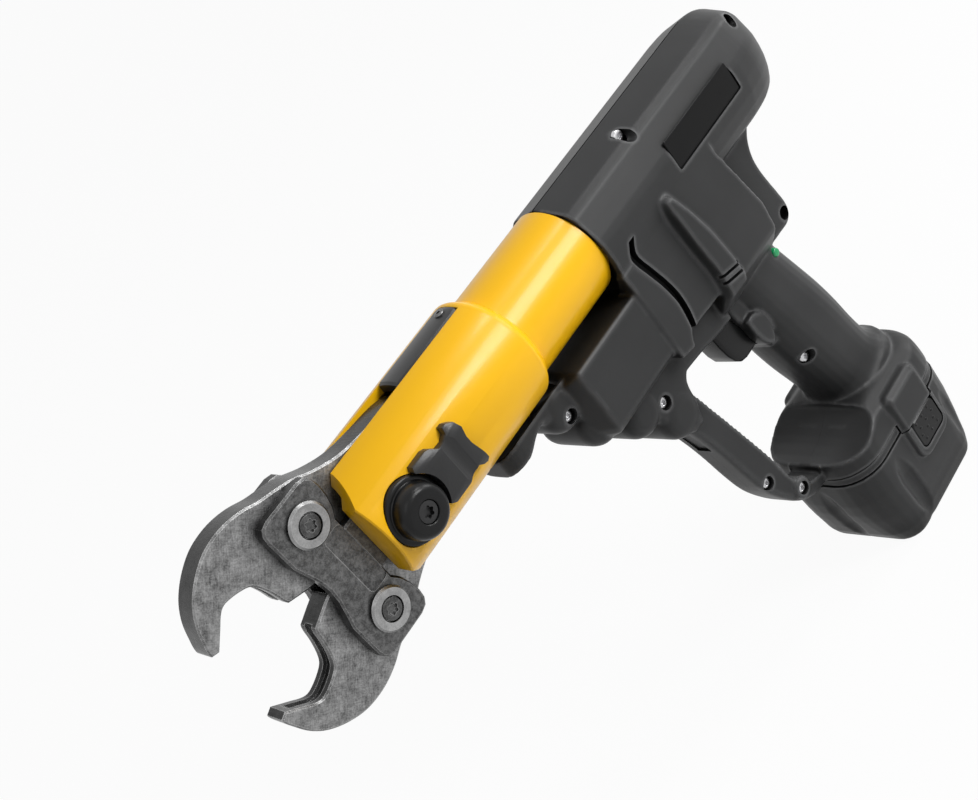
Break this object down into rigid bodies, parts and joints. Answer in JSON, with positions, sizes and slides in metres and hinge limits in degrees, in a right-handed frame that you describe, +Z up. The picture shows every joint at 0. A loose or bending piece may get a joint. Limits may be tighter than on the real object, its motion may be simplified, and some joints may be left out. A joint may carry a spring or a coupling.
{
  "type": "radial press tool",
  "caption": "Battery-powered radial press with a pistol handle, a turning press head and a two-jaw tong that a roller ram closes round a pipe fitting",
  "frame": {"origin": "centre of the flat battery base that the tool stands on", "axes": "+X forward along the barrel to the jaws, +Y to the left of the tool, +Z up"},
  "size_m": [0.4111, 0.0761, 0.3193],
  "materials": {
    "black_plastic": "fine spark-eroded texture",
    "soft_black": "smooth satin",
    "yellow_paint": "gloss enamel",
    "black_steel": "black oxide",
    "steel": "satin",
    "aluminium": "machined",
    "rubber": "matt",
    "brass": "machined",
    "board_green": "coated",
    "cell_wrap": "shrink film",
    "lamp_green": "clear"
  },
  "bodies": {
    "drive_unit": {"left_housing": "black_plastic", "right_housing": "black_plastic", "housing_screws": "black_steel", "name_panels": "soft_black", "status_lamp": "lamp_green", "press_cylinder": "yellow_paint", "retaining_ring": "black_steel", "cylinder_gland": "steel", "pump_block": "aluminium", "pump_plunger": "steel", "oil_reservoir": "rubber", "motor_can": "steel", "ring_gear": "steel", "control_board": "board_green", "switch_body": "black_plastic", "contact_block": "black_plastic", "trigger_spring": "steel"},
    "motor_rotor": {"motor_armature": "brass", "sun_gear": "brass"},
    "gear_carrier": {"planet_carrier": "steel"},
    "planet_1": {"planet_gear_1": "brass"},
    "planet_2": {"planet_gear_2": "brass"},
    "planet_3": {"planet_gear_3": "brass"},
    "swivel_head": {"fork_head": "yellow_paint", "slot_strips": "black_steel", "strip_screws": "black_steel", "left_plate": "steel", "right_plate": "steel", "jaw_pins": "steel", "pin_washers": "steel", "washer_screws": "steel", "latch_spring": "steel"},
    "press_ram": {"piston": "steel", "piston_seal": "rubber", "roller_carriage": "steel", "roller_pins": "steel", "return_spring": "steel"},
    "upper_roller": {"upper_roller": "steel"},
    "lower_roller": {"lower_roller": "steel"},
    "upper_jaw": {"upper_jaw": "steel"},
    "lower_jaw": {"lower_jaw": "steel"},
    "holding_pin": {"holding_pin": "steel", "pin_knob": "black_steel", "knob_screw": "black_steel"},
    "pin_latch": {"pin_latch": "black_steel"},
    "trigger": {"trigger": "soft_black"},
    "battery": {"battery_case": "black_plastic", "battery_cover": "black_plastic", "battery_cells": "cell_wrap", "battery_contacts": "brass", "battery_screws": "steel", "left_button_spring": "steel", "right_button_spring": "steel"},
    "left_button": {"left_button": "soft_black"},
    "right_button": {"right_button": "soft_black"}
  },
  "joints": [
    {"name": "head_swivel", "type": "hinge", "parent": "drive_unit", "child": "swivel_head", "pos_m": [0.156, 0, 0.267], "axis": [1, 0, 0], "continuous": true},
    {"name": "press_stroke", "type": "slide", "parent": "swivel_head", "child": "press_ram", "axis": [1, 0, 0], "range_m": [0, 0.032], "stiffness_N_per_m": 900, "deforming": ["return_spring"]},
    {"name": "upper_roller_spin", "type": "hinge", "parent": "press_ram", "child": "upper_roller", "pos_m": [0.19, 0, 0.2772], "axis": [0, 1, 0], "range_deg": [-184, 0]},
    {"name": "lower_roller_spin", "type": "hinge", "parent": "press_ram", "child": "lower_roller", "pos_m": [0.19, 0, 0.2568], "axis": [0, 1, 0], "range_deg": [0, 184]},
    {"name": "upper_jaw_close", "type": "hinge", "parent": "swivel_head", "child": "upper_jaw", "pos_m": [0.269, 0, 0.2937], "axis": [0, 1, 0], "range_deg": [0, 19.3]},
    {"name": "lower_jaw_close", "type": "hinge", "parent": "swivel_head", "child": "lower_jaw", "pos_m": [0.269, 0, 0.2403], "axis": [0, -1, 0], "range_deg": [0, 19.3]},
    {"name": "holding_pin_pull", "type": "slide", "parent": "swivel_head", "child": "holding_pin", "axis": [0, 1, 0], "range_m": [0, 0.041]},
    {"name": "pin_latch_slide", "type": "slide", "parent": "swivel_head", "child": "pin_latch", "axis": [-1, 0, 0], "range_m": [0, 0.005], "stiffness_N_per_m": 800, "springref_m": -0.002, "deforming": ["latch_spring"]},
    {"name": "trigger_pull", "type": "slide", "parent": "drive_unit", "child": "trigger", "axis": [-1, 0, 0], "range_m": [0, 0.005], "stiffness_N_per_m": 900, "springref_m": -0.002, "deforming": ["trigger_spring"]},
    {"name": "battery_slide", "type": "slide", "parent": "drive_unit", "child": "battery", "axis": [0, 0, -1], "range_m": [0, 0.03]},
    {"name": "left_button_press", "type": "slide", "parent": "battery", "child": "left_button", "axis": [0, -1, 0], "range_m": [0, 0.0025], "stiffness_N_per_m": 1200, "springref_m": -0.001, "deforming": ["left_button_spring"]},
    {"name": "right_button_press", "type": "slide", "parent": "battery", "child": "right_button", "axis": [0, 1, 0], "range_m": [0, 0.0025], "stiffness_N_per_m": 1200, "springref_m": -0.001, "deforming": ["right_button_spring"]},
    {"name": "motor_spin", "type": "hinge", "parent": "drive_unit", "child": "motor_rotor", "pos_m": [0.086, 0, 0.215], "axis": [1, 0, 0], "continuous": true},
    {"name": "carrier_spin", "type": "hinge", "parent": "drive_unit", "child": "gear_carrier", "pos_m": [0.066, 0, 0.215], "axis": [1, 0, 0], "continuous": true},
    {"name": "planet_1_spin", "type": "hinge", "parent": "gear_carrier", "child": "planet_1", "pos_m": [0.076, 0.0108, 0.215], "axis": [1, 0, 0], "continuous": true},
    {"name": "planet_2_spin", "type": "hinge", "parent": "gear_carrier", "child": "planet_2", "pos_m": [0.076, -0.0054, 0.22435], "axis": [1, 0, 0], "continuous": true},
    {"name": "planet_3_spin", "type": "hinge", "parent": "gear_carrier", "child": "planet_3", "pos_m": [0.076, -0.0054, 0.20565], "axis": [1, 0, 0], "continuous": true}
  ],
  "couplings": [
    {"joint": "upper_jaw_close", "follows": "press_stroke", "rad_per_m": 10.527},
    {"joint": "lower_jaw_close", "follows": "press_stroke", "rad_per_m": 10.527},
    {"joint": "upper_roller_spin", "follows": "press_stroke", "rad_per_m": -100},
    {"joint": "lower_roller_spin", "follows": "press_stroke", "rad_per_m": 100},
    {"joint": "carrier_spin", "follows": "motor_spin", "ratio": 0.22222},
    {"joint": "planet_1_spin", "follows": "motor_spin", "ratio": -0.62222},
    {"joint": "planet_2_spin", "follows": "motor_spin", "ratio": -0.62222},
    {"joint": "planet_3_spin", "follows": "motor_spin", "ratio": -0.62222}
  ]
}
